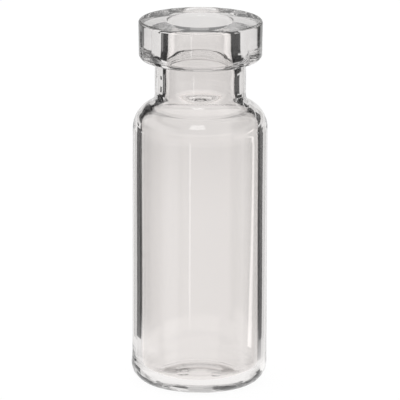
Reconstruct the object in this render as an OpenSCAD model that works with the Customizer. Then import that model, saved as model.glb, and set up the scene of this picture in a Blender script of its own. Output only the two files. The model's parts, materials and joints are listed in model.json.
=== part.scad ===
// Small glass sample vial with a crimp finish.
// One piece of clear glass formed from a length of tube: a hollowed base, a
// straight body, a drawn-in shoulder, a neck and a thick crimp flange.
// Millimetres, +Z up. The origin is the middle of the face it stands on.

/* [Body] */
// Outside diameter of the tube
body_d = 11.6; // [10.8:0.1:15]
// Thickness of the tube wall
body_wall = 0.8; // [0.7:0.05:1.3]
// Height from the standing face to the corner of the shoulder
body_h = 24; // [18:0.5:45]

/* [Base] */
// Rounding between the underside and the body
heel_r = 1.8; // [1:0.1:2.2]
// Thickness of the glass at the middle of the floor, above the dimple
floor_t = 0.9; // [0.6:0.05:1.5]
// Rise of the floor inside, from its edge to its middle
floor_rise = 0.4; // [0.1:0.05:0.6]
// Rounding between the floor and the wall, inside
floor_r = 1.1; // [0.5:0.1:2]
// Height that the hollowed underside rises to at its middle
hollow_rise = 0.35; // [0.2:0.05:0.6]
// Width of the flat ring that the vial stands on
ring_w = 0.4; // [0.2:0.05:0.8]
// Diameter of the dimple left in the middle of the underside
dimple_d = 3.8; // [2:0.1:5]
// Depth of that dimple
dimple_depth = 0.12; // [0.05:0.01:0.3]

/* [Shoulder] */
// Rise of the shoulder, from the corner of the body to the corner of the neck
shoulder_rise = 1; // [0.5:0.1:2]
// Thickness of the glass along the slope of the shoulder
shoulder_wall = 0.7; // [0.6:0.05:1.4]
// Outer rounding between the body and the shoulder
shoulder_r = 2.5; // [1:0.1:3]
// Inner rounding between the body and the shoulder
shoulder_inner_r = 1.3; // [0.5:0.1:2]
// Inner rounding between the shoulder and the bore of the neck
throat_r = 1.2; // [0.5:0.1:2.5]

/* [Neck] */
// Outside diameter of the neck
neck_d = 7.85; // [7.2:0.05:8.6]
// Length of the neck, from the corner of the shoulder to the flange
neck_h = 3.45; // [2:0.05:6]
// Rounding between the shoulder and the neck, outside
neck_r = 0.8; // [0.3:0.1:1.2]
// Diameter of the bore through the neck and the flange
bore_d = 5.8; // [4:0.1:6.2]

/* [Flange] */
// Diameter of the crimp flange
flange_d = 10.7; // [10:0.05:11.2]
// Height of the flange, from where it meets the neck to the top face
flange_h = 3.55; // [3:0.05:4.5]
// Rise of the underside of the flange, from the neck to the rim
flange_under_rise = 0.15; // [0:0.05:0.5]
// Rounding of the top edge of the flange
flange_top_r = 0.25; // [0.1:0.05:0.5]
// Rounding of the lower edge of the flange
flange_low_r = 0.5; // [0.2:0.05:0.8]
// Rounding between the underside of the flange and the neck
flange_root_r = 0.3; // [0.1:0.05:0.5]
// Width of the sealing face, from the rim of the flange inward
seat_w = 1.3; // [0.8:0.1:1.6]
// Depth that the top dips to, from the sealing face to the corner of the mouth
mouth_dip = 0.06; // [0.02:0.01:0.15]
// Rounding of the mouth, between the dip and the bore
lip_r = 0.35; // [0.2:0.05:0.9]

/* [Hidden] */
$fn = 160;
glass = [0.86, 0.88, 0.87, 0.45];

body_r = body_d / 2;
cavity_r = body_r - body_wall;
outer_neck_r = neck_d / 2;
bore_r = bore_d / 2;
rim_r = flange_d / 2;
seat_r = rim_r - seat_w;

// Levels, from the base up
neck_z = body_h + shoulder_rise;
flange_z = neck_z + neck_h;
top_z = flange_z + flange_h;
floor_z = hollow_rise + dimple_depth + floor_t - floor_rise;

// The inner slope of the shoulder runs parallel to the outer one
slope = shoulder_rise / (body_r - outer_neck_r);
function under_shoulder_z(r) =
    body_h + (body_r - r) * slope - shoulder_wall * sqrt(1 + slope * slope);

// The hollow of the underside and its dimple are parts of two spheres, and so
// is the rise of the floor, which has a narrow flat ring round it
hollow_edge_r = body_r - heel_r - ring_w;
hollow_sphere_r = (hollow_edge_r ^ 2 + hollow_rise ^ 2) / (2 * hollow_rise);
dimple_top_z = hollow_rise + dimple_depth;
dimple_edge_z = hollow_rise - hollow_sphere_r + sqrt(hollow_sphere_r ^ 2 - (dimple_d / 2) ^ 2);
dimple_cap = dimple_top_z - dimple_edge_z;
dimple_sphere_r = ((dimple_d / 2) ^ 2 + dimple_cap ^ 2) / (2 * dimple_cap);
dome_edge_r = 0.9 * (cavity_r - floor_r);
dome_sphere_r = (dome_edge_r ^ 2 + floor_rise ^ 2) / (2 * floor_rise);

// Sharp corners of the glass section as [radius, height, rounding], in the
// order that a pencil draws them: up the outside, over the mouth, down the bore
section = [
    [0, 0, 0],
    [body_r, 0, heel_r],
    [body_r, body_h, shoulder_r],
    [outer_neck_r, neck_z, neck_r],
    [outer_neck_r, flange_z, flange_root_r],
    [rim_r, flange_z + flange_under_rise, flange_low_r],
    [rim_r, top_z, flange_top_r],
    [seat_r, top_z, 0],
    [bore_r, top_z - mouth_dip, lip_r],
    [bore_r, under_shoulder_z(bore_r), throat_r],
    [cavity_r, under_shoulder_z(cavity_r), shoulder_inner_r],
    [cavity_r, floor_z, floor_r],
    [0, floor_z, 0],
];

function corner(i) = section[(i + len(section)) % len(section)];
function place(i) = [corner(i)[0], corner(i)[1]];
function toward(i, j) = (place(j) - place(i)) / norm(place(j) - place(i));
function half_angle(i) = acos(toward(i, i - 1) * toward(i, i + 1)) / 2;

// Length of each side that the rounding of corner i takes, as asked and as it
// fits beside the rounding of its neighbours
function asked_take(i) = corner(i)[2] / tan(half_angle(i));
function share(i, j) =
    min(1, norm(place(j) - place(i)) / max(asked_take(i) + asked_take(j), 0.001));
function take(i) = asked_take(i) * min(share(i, i - 1), share(i, i + 1));

// Is corner i an inner corner of the glass, which its rounding fills?
function is_inner(i) =
    let (a = toward(i, i - 1), b = toward(i, i + 1)) a[0] * b[1] - a[1] * b[0] > 0;

// The sliver between a sharp corner and its rounding
module rounding(i) {
    a = place(i) + toward(i, i - 1) * take(i);
    b = place(i) + toward(i, i + 1) * take(i);
    r = take(i) * tan(half_angle(i));
    bisector = toward(i, i - 1) + toward(i, i + 1);
    centre = place(i) + bisector / norm(bisector) * r / sin(half_angle(i));
    beyond = place(i) + (place(i) - centre) / 4;
    difference() {
        polygon([beyond, a, b]);
        translate(centre) circle(r = r);
    }
}

module hollow_underside() {
    intersection() {
        translate([0, -hollow_sphere_r]) square([body_r, 2 * hollow_sphere_r]);
        union() {
            translate([0, hollow_rise - hollow_sphere_r]) circle(r = hollow_sphere_r);
            translate([0, dimple_top_z - dimple_sphere_r]) circle(r = dimple_sphere_r);
        }
    }
}

module floor_dome() {
    intersection() {
        translate([0, floor_z]) square([dome_edge_r, floor_rise]);
        translate([0, floor_z + floor_rise - dome_sphere_r]) circle(r = dome_sphere_r);
    }
}

module glass_section() {
    rounded = [for (i = [0 : len(section) - 1]) if (corner(i)[2] > 0) i];
    difference() {
        union() {
            polygon([for (i = [0 : len(section) - 1]) place(i)]);
            for (i = rounded) if (is_inner(i)) rounding(i);
            floor_dome();
        }
        for (i = rounded) if (!is_inner(i)) rounding(i);
        hollow_underside();
    }
}

module vial() {
    color(glass) rotate_extrude() glass_section();
}

vial();
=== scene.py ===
import json
import math

import bmesh
import bpy
from mathutils import Matrix, Vector


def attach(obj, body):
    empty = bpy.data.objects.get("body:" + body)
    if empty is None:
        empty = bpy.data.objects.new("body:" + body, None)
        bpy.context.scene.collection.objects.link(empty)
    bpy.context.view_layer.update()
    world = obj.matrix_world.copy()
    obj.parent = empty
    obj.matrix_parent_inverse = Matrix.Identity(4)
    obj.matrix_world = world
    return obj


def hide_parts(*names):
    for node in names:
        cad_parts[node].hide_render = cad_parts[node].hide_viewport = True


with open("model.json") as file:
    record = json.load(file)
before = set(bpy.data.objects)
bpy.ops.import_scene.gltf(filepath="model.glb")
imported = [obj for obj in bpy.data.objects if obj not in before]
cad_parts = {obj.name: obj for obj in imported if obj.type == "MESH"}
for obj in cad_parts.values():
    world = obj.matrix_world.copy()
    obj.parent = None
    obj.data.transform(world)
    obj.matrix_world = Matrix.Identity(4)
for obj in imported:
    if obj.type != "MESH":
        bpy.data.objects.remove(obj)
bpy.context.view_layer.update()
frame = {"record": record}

MM = 0.001
TINY = 1e-6

mounts = {mount["name"]: mount for mount in frame["record"]["mounts"]}

# --- Section of the glass, in millimetres -----------------------------------
BODY_R = mounts["body"]["dims"]["r_mm"]
BODY_WALL = 0.8
HEEL_R = 1.8
FLOOR_T = 0.9
FLOOR_R = 1.1
FLOOR_RISE = 0.4
HOLLOW_RISE = 0.35
RING_W = 0.4
DIMPLE_R = 1.9
DIMPLE_DEPTH = 0.12
SHOULDER_RISE = 1.0
SHOULDER_WALL = 0.8
SHOULDER_R = 2.5
SHOULDER_INNER_R = 1.6
THROAT_R = 2.2
NECK_OUTER_R = 3.925
NECK_H = 3.45
NECK_R = 0.8
RIM_R = mounts["crimp_flange"]["dims"]["r_mm"]
FLANGE_H = 3.55
FLANGE_UNDER_RISE = 0.15
FLANGE_TOP_R = 0.25
FLANGE_LOW_R = 0.5
FLANGE_ROOT_R = 0.3
LIP_R = 0.35
# The flange narrows a little towards its lower edge
RIM_LOW_R = RIM_R - 0.06
# The bore is pressed narrower at the mouth, and widens between these two heights
BORE_R = mounts["mouth_bore"]["dims"]["r_mm"]
NECK_BORE_R = BORE_R + 0.04
MOUTH_R = BORE_R - 0.19
TAPER_TOP = 29.6
TAPER_LOW = 27.4
TAPER_R = 6.0
# The cap's liner seals on a flat ring, and the glass dips from it to the mouth
SEAT_W = 1.3
DISH = 0.06

CAVITY_R = BODY_R - BODY_WALL
SEAT_R = RIM_R - SEAT_W
TOP_Z = mounts["sealing_face"]["pos_m"][2] / MM
FLANGE_Z = TOP_Z - FLANGE_H
NECK_Z = FLANGE_Z - NECK_H
BODY_H = NECK_Z - SHOULDER_RISE
FLOOR_Z = HOLLOW_RISE + DIMPLE_DEPTH + FLOOR_T - FLOOR_RISE
# The dome of the floor covers this share of its flat
DOME_SHARE = 0.9
DOME_EDGE_R = DOME_SHARE * (CAVITY_R - FLOOR_R)

# --- Small unevenness of the glass, in millimetres ----------------------------
# The mouth stands a little to the left of the axis. The shift grows between these
# two heights
BORE_SHIFT = -0.05
SHIFT_FROM = 27.4
SHIFT_FULL = 29.4
# Waves of the inner surface: (turns round the axis, start in degrees, twist in
# degrees a millimetre, height)
WAVES = [(2, 40, 3, 0.006), (3, 110, -7, 0.005), (5, 20, 11, 0.003), (7, 200, -16, 0.002)]
# The heel bulges to the left, most at HEEL_BULGE_Z and not at all on the standing ring
HEEL_BULGE = 0.09
HEEL_BULGE_Z = 1.3
HEEL_BULGE_TALL = 0.9
STANDING_RING_Z = 0.2

# --- Fineness of the mesh -----------------------------------------------------
TURNS = 288
RING_STEP = 0.5
ARC_STEPS = 12
HOLLOW_STEPS = 10
DOME_STEPS = 14


def under_shoulder(r):
    """Height of the inner slope of the shoulder, which runs beside the outer one."""
    slope = SHOULDER_RISE / (BODY_R - NECK_OUTER_R)
    return BODY_H + (BODY_R - r) * slope - SHOULDER_WALL * math.hypot(1, slope)


def outer_corners():
    """Sharp corners of the outside as (radius, height, rounding), from the standing face up."""
    return [
        (BODY_R - HEEL_R - RING_W, 0, 0),
        (BODY_R, 0, HEEL_R),
        (BODY_R, BODY_H, SHOULDER_R),
        (NECK_OUTER_R, NECK_Z, NECK_R),
        (NECK_OUTER_R, FLANGE_Z, FLANGE_ROOT_R),
        (RIM_LOW_R, FLANGE_Z + FLANGE_UNDER_RISE, FLANGE_LOW_R),
        (RIM_R, TOP_Z, FLANGE_TOP_R),
    ]


def inner_corners():
    """The same for the seat, the mouth and the inside, down to the middle of the floor."""
    return [
        (SEAT_R, TOP_Z, 0),
        (MOUTH_R, TOP_Z - DISH, LIP_R),
        (MOUTH_R, TAPER_TOP, TAPER_R),
        (NECK_BORE_R, TAPER_LOW, TAPER_R),
        (NECK_BORE_R, under_shoulder(NECK_BORE_R), THROAT_R),
        (CAVITY_R, under_shoulder(CAVITY_R), SHOULDER_INNER_R),
        (CAVITY_R, FLOOR_Z, FLOOR_R),
        (DOME_EDGE_R, FLOOR_Z, 0),
    ]


def rounded_line(corners):
    """Turns sharp corners into arcs. The first and last corner stay as they are."""
    points = []
    for i, (r, z, rounding) in enumerate(corners):
        here = Vector((r, z))
        if rounding == 0:
            points.append(here)
            continue
        back = (Vector(corners[i - 1][:2]) - here).normalized()
        ahead = (Vector(corners[i + 1][:2]) - here).normalized()
        half = back.angle(ahead) / 2
        start = here + back * rounding / math.tan(half)
        centre = here + (back + ahead).normalized() * rounding / math.sin(half)
        turn = math.pi - 2 * half
        spin = 1 if (start - centre).cross(here - centre) > 0 else -1
        for k in range(ARC_STEPS + 1):
            bend = Matrix.Rotation(spin * turn * k / ARC_STEPS, 2)
            points.append(centre + bend @ (start - centre))
    return points


def even_line(points):
    """Divides the straight stretches, so that no ring of faces is much taller than RING_STEP."""
    line = [points[0]]
    for a, b in zip(points, points[1:]):
        steps = max(1, round((b - a).length / RING_STEP))
        for k in range(1, steps + 1):
            line.append(a.lerp(b, k / steps))
    return line


def sphere_z(r, sphere_r, top):
    """Height at radius r of a sphere whose highest point is at top."""
    return top - sphere_r + math.sqrt(sphere_r ** 2 - r ** 2)


def hollow_line():
    """The hollow of the underside and the dimple in its middle, from the axis out."""
    edge_r = BODY_R - HEEL_R - RING_W
    hollow_r = (edge_r ** 2 + HOLLOW_RISE ** 2) / (2 * HOLLOW_RISE)
    dimple_top = HOLLOW_RISE + DIMPLE_DEPTH
    cap = dimple_top - sphere_z(DIMPLE_R, hollow_r, HOLLOW_RISE)
    dimple_sphere_r = (DIMPLE_R ** 2 + cap ** 2) / (2 * cap)
    line = []
    for k in range(HOLLOW_STEPS):
        r = DIMPLE_R * k / HOLLOW_STEPS
        line.append(Vector((r, sphere_z(r, dimple_sphere_r, dimple_top))))
    for k in range(HOLLOW_STEPS):
        r = DIMPLE_R + (edge_r - DIMPLE_R) * k / HOLLOW_STEPS
        line.append(Vector((r, sphere_z(r, hollow_r, HOLLOW_RISE))))
    return line


def dome_line():
    """The floor inside, which rises from a narrow flat ring to its middle."""
    sphere_r = (DOME_EDGE_R ** 2 + FLOOR_RISE ** 2) / (2 * FLOOR_RISE)
    line = []
    for k in range(1, DOME_STEPS + 1):
        r = DOME_EDGE_R * (1 - k / DOME_STEPS)
        line.append(Vector((r, sphere_z(r, sphere_r, FLOOR_Z + FLOOR_RISE))))
    return line


def outer_place(r, z, a):
    """Point of the outside at angle a, with the bulge of the heel."""
    if z > STANDING_RING_Z:
        nearby = math.exp(-((z - HEEL_BULGE_Z) / HEEL_BULGE_TALL) ** 2)
        r += HEEL_BULGE * nearby * max(0.0, -math.cos(a)) ** 2
    return Vector((r * math.cos(a), r * math.sin(a), z)) * MM


def inner_place(r, z, a):
    """Point of the inside at angle a, with its waves and the shift of the mouth."""
    share = min(1.0, max(0.0, (z - SHIFT_FROM) / (SHIFT_FULL - SHIFT_FROM)))
    steady = min(1.0, r / CAVITY_R)
    for count, start, twist, height in WAVES:
        r += height * steady * math.sin(count * a + math.radians(start + twist * z))
    return Vector((r * math.cos(a) + BORE_SHIFT * share, r * math.sin(a), z)) * MM


def lathe(name, outside, inside):
    """Turns two lines of (radius, height) points round the axis into one closed smooth mesh."""
    work = bmesh.new()
    rings = []
    for line, place in ((outside, outer_place), (inside, inner_place)):
        for r, z in line:
            if r < TINY:
                rings.append([work.verts.new((0, 0, z * MM))])
            else:
                angles = [2 * math.pi * k / TURNS for k in range(TURNS)]
                rings.append([work.verts.new(place(r, z, a)) for a in angles])
    for low, high in zip(rings, rings[1:]):
        for k in range(TURNS):
            n = (k + 1) % TURNS
            if len(low) == 1:
                work.faces.new((low[0], high[n], high[k]))
            elif len(high) == 1:
                work.faces.new((low[k], low[n], high[0]))
            else:
                work.faces.new((low[k], low[n], high[n], high[k]))
    bmesh.ops.recalc_face_normals(work, faces=work.faces)
    mesh = bpy.data.meshes.new(name)
    work.to_mesh(mesh)
    work.free()
    mesh.shade_smooth()
    piece = bpy.data.objects.new(name, mesh)
    bpy.context.collection.objects.link(piece)
    return piece


# --- Glass --------------------------------------------------------------------
# Scales of noise are turns a metre, and heights and depths are in millimetres
GLASS_INDEX = 1.5
GLASS_TINT = (0.949, 0.927, 0.914)
GLASS_STREAK = (0.939, 0.919, 0.91)
FILM = 0.006
# Streaks run along the tube, where their scale is this much smaller
STREAK_SCALE = 700.0
STREAK_LONG = 0.05
STREAK_HEIGHT = 0.0008
RIPPLE_SCALE = 420.0
RIPPLE_HEIGHT = 0.0022
# The ripples begin at the first height and are full from the second one up
RIPPLES_FROM = 22.0
RIPPLES_FULL = 25.0
# Marks in the glass of the base, below MARK_Z, as (x, y, radius, depth)
FLOOR_MARKS = [(-1.4, -1.7, 0.5, 0.3), (1.45, -2.2, 0.4, 0.3)]
MARK_Z = 1.6
MARK_SOFT = 0.2
# Places of the two colour inputs of a Mix node
MIX_COLOUR_A = 6
MIX_COLOUR_B = 7


def link_or_set(tree, value, socket):
    if isinstance(value, (int, float)):
        socket.default_value = value
    else:
        tree.links.new(value, socket)


def number(tree, operation, *values):
    """A Math node. Each value is a number or an output of another node."""
    node = tree.nodes.new("ShaderNodeMath")
    node.operation = operation
    for socket, value in zip(node.inputs, values):
        link_or_set(tree, value, socket)
    return node.outputs[0]


def noise(tree, position, scale, detail=2.0):
    node = tree.nodes.new("ShaderNodeTexNoise")
    node.inputs["Scale"].default_value = scale
    node.inputs["Detail"].default_value = detail
    tree.links.new(position, node.inputs["Vector"])
    return node.outputs["Fac"]


def mark_height(tree, axes, mark):
    """A round dent in the base. It fades out towards its edge and ends at MARK_Z."""
    x, y, radius, depth = mark
    across = number(tree, "POWER", number(tree, "SUBTRACT", axes[0], x * MM), 2.0)
    along = number(tree, "POWER", number(tree, "SUBTRACT", axes[1], y * MM), 2.0)
    away = number(tree, "SQRT", number(tree, "ADD", across, along))
    near = number(tree, "SUBTRACT", 1.0, number(tree, "DIVIDE", away, radius * MM))
    shape = number(tree, "SMOOTH_MAX", near, 0.0, MARK_SOFT)
    low = number(tree, "LESS_THAN", axes[2], MARK_Z * MM)
    return number(tree, "MULTIPLY", number(tree, "MULTIPLY", shape, low), -depth)


def clear_glass():
    """Clear glass with faint streaks along the tube, and ripples from the shoulder up."""
    material = bpy.data.materials.new("clear_glass")
    material.use_nodes = True
    tree = material.node_tree
    shader = tree.nodes["Principled BSDF"]
    shader.inputs["Transmission Weight"].default_value = 1.0
    shader.inputs["IOR"].default_value = GLASS_INDEX
    place = tree.nodes.new("ShaderNodeTexCoord").outputs["Object"]
    split = tree.nodes.new("ShaderNodeSeparateXYZ")
    tree.links.new(place, split.inputs[0])
    squeeze = tree.nodes.new("ShaderNodeMapping")
    squeeze.inputs["Scale"].default_value = (1, 1, STREAK_LONG)
    tree.links.new(place, squeeze.inputs["Vector"])
    streaks = noise(tree, squeeze.outputs[0], STREAK_SCALE)
    ripples = noise(tree, place, RIPPLE_SCALE, detail=1.0)

    tint = tree.nodes.new("ShaderNodeMix")
    tint.data_type = "RGBA"
    tree.links.new(streaks, tint.inputs["Factor"])
    tint.inputs[MIX_COLOUR_A].default_value = (*GLASS_TINT, 1)
    tint.inputs[MIX_COLOUR_B].default_value = (*GLASS_STREAK, 1)
    tree.links.new(tint.outputs[2], shader.inputs["Base Color"])
    tree.links.new(number(tree, "MULTIPLY", ripples, FILM), shader.inputs["Roughness"])

    upper = tree.nodes.new("ShaderNodeMapRange")
    tree.links.new(split.outputs[2], upper.inputs["Value"])
    upper.inputs["From Min"].default_value = RIPPLES_FROM * MM
    upper.inputs["From Max"].default_value = RIPPLES_FULL * MM
    waves = number(tree, "MULTIPLY", ripples, upper.outputs["Result"])
    height = number(tree, "MULTIPLY", waves, RIPPLE_HEIGHT)
    height = number(tree, "ADD", height, number(tree, "MULTIPLY", streaks, STREAK_HEIGHT))
    for mark in FLOOR_MARKS:
        height = number(tree, "ADD", height, mark_height(tree, split.outputs, mark))
    bump = tree.nodes.new("ShaderNodeBump")
    bump.inputs["Strength"].default_value = 1.0
    bump.inputs["Distance"].default_value = MM
    tree.links.new(height, bump.inputs["Height"])
    tree.links.new(bump.outputs["Normal"], shader.inputs["Normal"])
    return material


def make_vial():
    line = hollow_line() + rounded_line(outer_corners() + inner_corners()) + dome_line()
    line = even_line(line)
    top = max(k for k, point in enumerate(line) if point.y > TOP_Z - TINY)
    vial = lathe("vial_glass", line[:top + 1], line[top + 1:])
    vial.data.materials.append(clear_glass())
    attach(vial, "root")
    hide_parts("vial")
    return vial


make_vial()

# --- Camera ------------------------------------------------------------------
# Lengths are in millimetres, angles in degrees and places in the picture in pixels
PICTURE_PX = 400
PX_PER_MM = 11.596
CAMERA_AWAY = 647.0
ELEVATION = 13.7
ROLL = 0.218
SENSOR = 36.0
CLIP_START = 10.0
# The point at half the vial's height stands here in the picture
AIM_Z = TOP_Z / 2
AIM_PX = (199.936, 200.941)


def add_camera():
    data = bpy.data.cameras.new("camera")
    data.sensor_width = SENSOR
    data.lens = SENSOR * PX_PER_MM * CAMERA_AWAY / PICTURE_PX
    data.clip_start = CLIP_START * MM
    camera = bpy.data.objects.new("camera", data)
    bpy.context.scene.collection.objects.link(camera)
    tilt = Matrix.Rotation(math.radians(90 - ELEVATION), 3, "X")
    turn = tilt @ Matrix.Rotation(math.radians(ROLL), 3, "Z")
    right = turn @ Vector((1, 0, 0))
    up = turn @ Vector((0, 1, 0))
    aside = right * (PICTURE_PX / 2 - AIM_PX[0]) + up * (AIM_PX[1] - PICTURE_PX / 2)
    aim = Vector((0, 0, AIM_Z)) + aside / PX_PER_MM
    away = turn @ Vector((0, 0, 1)) * CAMERA_AWAY
    camera.matrix_world = Matrix.Translation((aim + away) * MM) @ turn.to_4x4()
    bpy.context.scene.camera = camera


add_camera()

# --- Studio ------------------------------------------------------------------
# Directions are in degrees: azimuth 0 is straight behind the vial and positive to
# the right, elevation 0 is level. A panel is (azimuth from, to, elevation from, to,
# width of its soft edge, brightness), and a later panel covers an earlier one. All
# rays see the first group, rays that the glass has mirrored see the second one too,
# and only rays mirrored by its outside, before they enter it, see the third.
# No real studio is meant, and the notes between the rows only say where a panel is.
# The list began with panels given one by one and was then moved by a numerical fit. Its results,
# rounded and in a few places changed again, are the whole first group, the second row of the
# second group, the limits of the first row of the other two, and DIM, THROUGH_TOP and
# most of the BACK_ values.
DIM = 0.07
PANELS = {
    "all": [
        # Above, then a bright panel behind the vial with dark and dim ones before it
        (-180, 180, 46, 100, 12.0, 0.86),
        (-61, 48, -4, 40, 4.5, 0.80),
        (-48, -3, 7, 32, 1.5, 0.03),
        (-77, -22, -19, 21, 4.0, 0.04),
        (8, 43, 16, 38, 2.0, 0.03),
        (22, 83, 0, 14, 2.5, 0.03),
        (-10, 8, -6, 19, 2.5, 0.52),
        (-55, -50, -22, -7, 1.5, 0.27),
        # Bright panels higher up: to the left, to the right and at the front
        (-149, -48, 11, 36, 6.5, 1.02),
        (50, 150, 11, 21, 10.0, 0.55),
        (114, 225, 10, 63, 9.0, 0.71),
        # Below, then bright, dark and dim panels low at the front and the sides
        (-180, 180, -100, -58, 8.0, 1.13),
        (-165, -115, -26, -10, 7.0, 0.77),
        (89, 161, -28, -4, 8.0, 0.03),
        (146, 219, -43, -10, 7.5, 0.34),
        (90, 105, -21, -10, 4.5, 0.46),
    ],
    "mirrored": [
        # A dark panel to the left and a dim one to the right, both behind
        (-37, -26, -8, 18, 1.5, 0.03),
        (14, 26, -8, 2, 4.0, 0.48),
        # Brighter panels low down, where the dark lines of the body end
        (-105, -31, -24, -14.7, 0.4, 0.8),
        (31, 60, -24, -14.75, 0.5, 0.6),
    ],
    "first": [
        # A bright panel high at the front, and a narrow strip of light low down there
        (170, 202, 38, 57, 6.0, 4.5),
        (195.5, 198.5, -14.6, -11, 0.4, 2.8),
    ],
}
# The pale background, which reaches less far for rays that the glass has mirrored
# or that have crossed the whole vial. Those that haven't see it as far as the WIDE values
BACK_LIGHT = 0.84
BACK_LEFT = -45.0
BACK_RIGHT = 34.5
BACK_WIDE = 57.0
BACK_HIGH = 0.5
BACK_HIGH_WIDE = 20.0
BACK_LOW = -58.0
BACK_SOFT = 5.0
# What shows straight through all four surfaces of the glass: a background that is
# brighter at the sides and a little darker from THROUGH_DARKER_FROM up
THROUGH_LIGHT = 0.95
THROUGH_SIDE = 1.25
THROUGH_SIDE_FROM = 25.0
THROUGH_SIDE_SOFT = 7.0
THROUGH_TOP = 7.5
THROUGH_TOP_SOFT = 5.0
THROUGH_DARKER = 0.9
THROUGH_DARKER_FROM = -13.45
THROUGH_DARKER_SOFT = 0.9
# A bright strip in it. STRIP_WIDE is its azimuth at elevation STRIP_LEVEL, and it
# leans by STRIP_LEAN degrees to the right for each degree further up
STRIP_LIGHT = 1.4
STRIP_WIDE = (13.6, 17.4)
STRIP_SOFT = 1.6
STRIP_LEAN = 3.0
STRIP_LEVEL = -14.0
STRIP_TALL = (-14.9, -13.1)
STRIP_TALL_SOFT = 0.4
# Dark cards on a circle round the vial. Each is (name, azimuth from, to at its lower
# edge, the same at its upper edge, height from, to), with heights in millimetres
CARD_AWAY = 60.0
CARD_DARK = 0.07
CARD_STEP = 5.0
CARDS = [
    ("flag_left", (-50, -30), (-50, -34), (-11.0, 11.2)),
    ("flag_right", (38, 50), (31, 50), (-11.0, 11.2)),
    ("flag_upper", (-42, -33), (-42, -33), (13.8, 18.0)),
]
# The floor, and a round pale patch just under it that the base mirrors
FLOOR_HALF = 400.0
FLOOR_SHADE = 0.1
FLOOR_PAINT = 0.9
FLOOR_WHITE = 1.06
GLOW_Z = -0.02
GLOW_R = 11.5
GLOW_TURNS = 64
GLOW_LIGHT = 0.95
# Thick glass mirrors light inside itself many times
GLASS_BOUNCES = 32


def soft_step(tree, value, edge, width):
    """0 below the edge and 1 above it, with a smooth change that is width wide."""
    node = tree.nodes.new("ShaderNodeMapRange")
    node.interpolation_type = "SMOOTHSTEP"
    tree.links.new(value, node.inputs["Value"])
    low = number(tree, "SUBTRACT", edge, width / 2)
    high = number(tree, "ADD", edge, width / 2)
    tree.links.new(low, node.inputs["From Min"])
    tree.links.new(high, node.inputs["From Max"])
    return node.outputs["Result"]


def between(tree, value, low, high, width):
    above = soft_step(tree, value, low, width)
    past = soft_step(tree, value, high, width)
    return number(tree, "SUBTRACT", above, past)


def blend(tree, under, over, mask):
    """under where the mask is 0, over where it is 1."""
    rest = number(tree, "SUBTRACT", 1.0, mask)
    rest_light = number(tree, "MULTIPLY", under, rest)
    return number(tree, "ADD", rest_light, number(tree, "MULTIPLY", over, mask))


def panel_mask(tree, azimuth, elevation, panel):
    """1 inside the panel and 0 outside it. A panel may reach past azimuth 180 at the back."""
    left, right, low, high, soft, _ = panel
    rise = between(tree, elevation, low, high, soft)
    if right - left >= 360:
        return rise
    if right > 180:
        azimuth = number(tree, "MODULO", number(tree, "ADD", azimuth, 360.0), 360.0)
    return number(tree, "MULTIPLY", between(tree, azimuth, left, right, soft), rise)


def background_mask(tree, azimuth, elevation, narrow):
    left = blend(tree, -BACK_WIDE, BACK_LEFT, narrow)
    right = blend(tree, BACK_WIDE, BACK_RIGHT, narrow)
    high = blend(tree, BACK_HIGH_WIDE, BACK_HIGH, narrow)
    across = between(tree, azimuth, left, right, BACK_SOFT)
    return number(tree, "MULTIPLY", across, between(tree, elevation, BACK_LOW, high, BACK_SOFT))


def through_light(tree, azimuth, elevation):
    """Brightness of what shows straight through the vial."""
    aside = number(tree, "ABSOLUTE", azimuth)
    side = soft_step(tree, aside, THROUGH_SIDE_FROM, THROUGH_SIDE_SOFT)
    light = blend(tree, THROUGH_LIGHT, THROUGH_SIDE, side)
    above = number(tree, "SUBTRACT", elevation, STRIP_LEVEL)
    upright = number(tree, "SUBTRACT", azimuth, number(tree, "MULTIPLY", above, STRIP_LEAN))
    across = between(tree, upright, *STRIP_WIDE, STRIP_SOFT)
    rise = between(tree, elevation, *STRIP_TALL, STRIP_TALL_SOFT)
    light = blend(tree, light, STRIP_LIGHT, number(tree, "MULTIPLY", across, rise))
    higher = soft_step(tree, elevation, THROUGH_DARKER_FROM, THROUGH_DARKER_SOFT)
    return number(tree, "MULTIPLY", light, blend(tree, 1.0, THROUGH_DARKER, higher))


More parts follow.
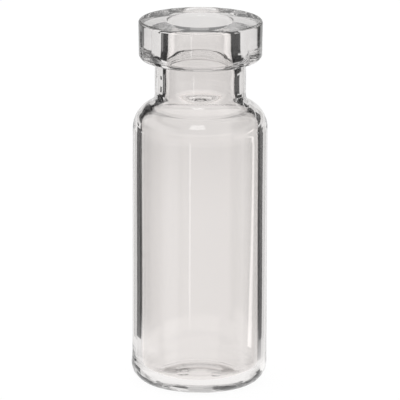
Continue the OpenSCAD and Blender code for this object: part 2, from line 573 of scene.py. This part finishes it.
def studio_world():
    """Light from all sides. What a ray sees of it depends on its way through the glass."""
    world = bpy.data.worlds.new("studio")
    bpy.context.scene.world = world
    world.use_nodes = True
    tree = world.node_tree
    background = tree.nodes["Background"]
    background.inputs["Color"].default_value = (1, 1, 1, 1)
    direction = tree.nodes.new("ShaderNodeTexCoord").outputs["Generated"]
    axes = tree.nodes.new("ShaderNodeSeparateXYZ")
    tree.links.new(direction, axes.inputs[0])
    x, y, z = axes.outputs
    azimuth = number(tree, "DEGREES", number(tree, "ARCTAN2", x, y))
    elevation = number(tree, "DEGREES", number(tree, "ARCSINE", z))

    # mirrored: by any surface; crossed: through four surfaces or more; straight:
    # crossed and never mirrored; first: by the outside, before entering the glass
    path = tree.nodes.new("ShaderNodeLightPath")
    mirrored = number(tree, "GREATER_THAN", path.outputs["Glossy Depth"], 0.5)
    crossed = number(tree, "GREATER_THAN", path.outputs["Transmission Depth"], 3.5)
    straight = number(tree, "MULTIPLY", number(tree, "SUBTRACT", 1.0, mirrored), crossed)
    outside = number(tree, "LESS_THAN", path.outputs["Transmission Depth"], 0.5)
    first = number(tree, "MULTIPLY", mirrored, outside)
    seen = {"all": 1.0, "mirrored": mirrored, "first": first}

    light = DIM
    for kind, panels in PANELS.items():
        for panel in panels:
            mask = panel_mask(tree, azimuth, elevation, panel)
            light = blend(tree, light, panel[-1], number(tree, "MULTIPLY", mask, seen[kind]))
    narrow = number(tree, "MAXIMUM", mirrored, crossed)
    light = blend(tree, light, BACK_LIGHT, background_mask(tree, azimuth, elevation, narrow))
    high = soft_step(tree, elevation, THROUGH_TOP, THROUGH_TOP_SOFT)
    clear_view = number(tree, "MULTIPLY", straight, number(tree, "SUBTRACT", 1.0, high))
    light = blend(tree, light, through_light(tree, azimuth, elevation), clear_view)
    light = blend(tree, light, 1.0, path.outputs["Is Camera Ray"])
    tree.links.new(light, background.inputs["Strength"])


def stage_piece(name, points, faces, material):
    """A piece of the stage. Its points are in millimetres."""
    mesh = bpy.data.meshes.new(name)
    mesh.from_pydata([Vector(point) * MM for point in points], [], faces)
    mesh.materials.append(material)
    piece = bpy.data.objects.new(name, mesh)
    bpy.context.scene.collection.objects.link(piece)
    return piece


def bare_material(name):
    """A material that has no nodes yet."""
    material = bpy.data.materials.new(name)
    material.use_nodes = True
    material.node_tree.nodes.clear()
    return material


def mixed_surface(tree, share, under, over):
    """Joins two shaders and sets them as the surface. share is a number or an output."""
    mix = tree.nodes.new("ShaderNodeMixShader")
    link_or_set(tree, share, mix.inputs[0])
    tree.links.new(under.outputs[0], mix.inputs[1])
    tree.links.new(over.outputs[0], mix.inputs[2])
    output = tree.nodes.new("ShaderNodeOutputMaterial")
    tree.links.new(mix.outputs[0], output.inputs[0])


def mirrored_only(name, strength):
    """A material that only rays mirrored by the glass meet, and all others pass."""
    material = bare_material(name)
    tree = material.node_tree
    path = tree.nodes.new("ShaderNodeLightPath")
    mirrored = number(tree, "GREATER_THAN", path.outputs["Glossy Depth"], 0.5)
    clear = tree.nodes.new("ShaderNodeBsdfTransparent")
    glow = tree.nodes.new("ShaderNodeEmission")
    glow.inputs["Strength"].default_value = strength
    mixed_surface(tree, mirrored, clear, glow)
    return material


def hide_from_camera(piece):
    piece.visible_camera = False
    piece.visible_shadow = False


def add_card(name, low_turn, high_turn, rise, material):
    """A card that stands on part of a circle round the vial."""
    steps = round((high_turn[1] - high_turn[0]) / CARD_STEP)
    points = []
    for k in range(steps + 1):
        for turn, z in zip((low_turn, high_turn), rise):
            a = math.radians(turn[0] + (turn[1] - turn[0]) * k / steps)
            points.append((CARD_AWAY * math.sin(a), CARD_AWAY * math.cos(a), z))
    faces = [(2 * k, 2 * k + 2, 2 * k + 3, 2 * k + 1) for k in range(steps)]
    hide_from_camera(stage_piece(name, points, faces, material))


def add_cards():
    material = mirrored_only("flag_black", CARD_DARK)
    for name, low_turn, high_turn, rise in CARDS:
        add_card(name, low_turn, high_turn, rise, material)


def add_glow():
    angles = [2 * math.pi * k / GLOW_TURNS for k in range(GLOW_TURNS)]
    points = [(GLOW_R * math.cos(a), GLOW_R * math.sin(a), GLOW_Z) for a in angles]
    material = mirrored_only("glow_white", GLOW_LIGHT)
    hide_from_camera(stage_piece("floor_glow", points, [range(GLOW_TURNS)], material))


def floor_material():
    """White paper that takes a faint shadow."""
    material = bare_material("floor_white")
    tree = material.node_tree
    white = tree.nodes.new("ShaderNodeEmission")
    white.inputs["Strength"].default_value = FLOOR_WHITE
    paint = tree.nodes.new("ShaderNodeBsdfDiffuse")
    paint.inputs["Color"].default_value = (FLOOR_PAINT, FLOOR_PAINT, FLOOR_PAINT, 1)
    mixed_surface(tree, FLOOR_SHADE, white, paint)
    return material


def add_floor():
    half = FLOOR_HALF
    corners = [(-half, -half, 0), (half, -half, 0), (half, half, 0), (-half, half, 0)]
    floor = stage_piece("floor", corners, [range(4)], floor_material())
    floor.visible_transmission = False
    floor.visible_glossy = False


studio_world()
add_cards()
add_glow()
add_floor()

for bounces in ("max_bounces", "transmission_bounces", "glossy_bounces"):
    setattr(bpy.context.scene.cycles, bounces, GLASS_BOUNCES)
bpy.context.scene.view_settings.view_transform = "Standard"
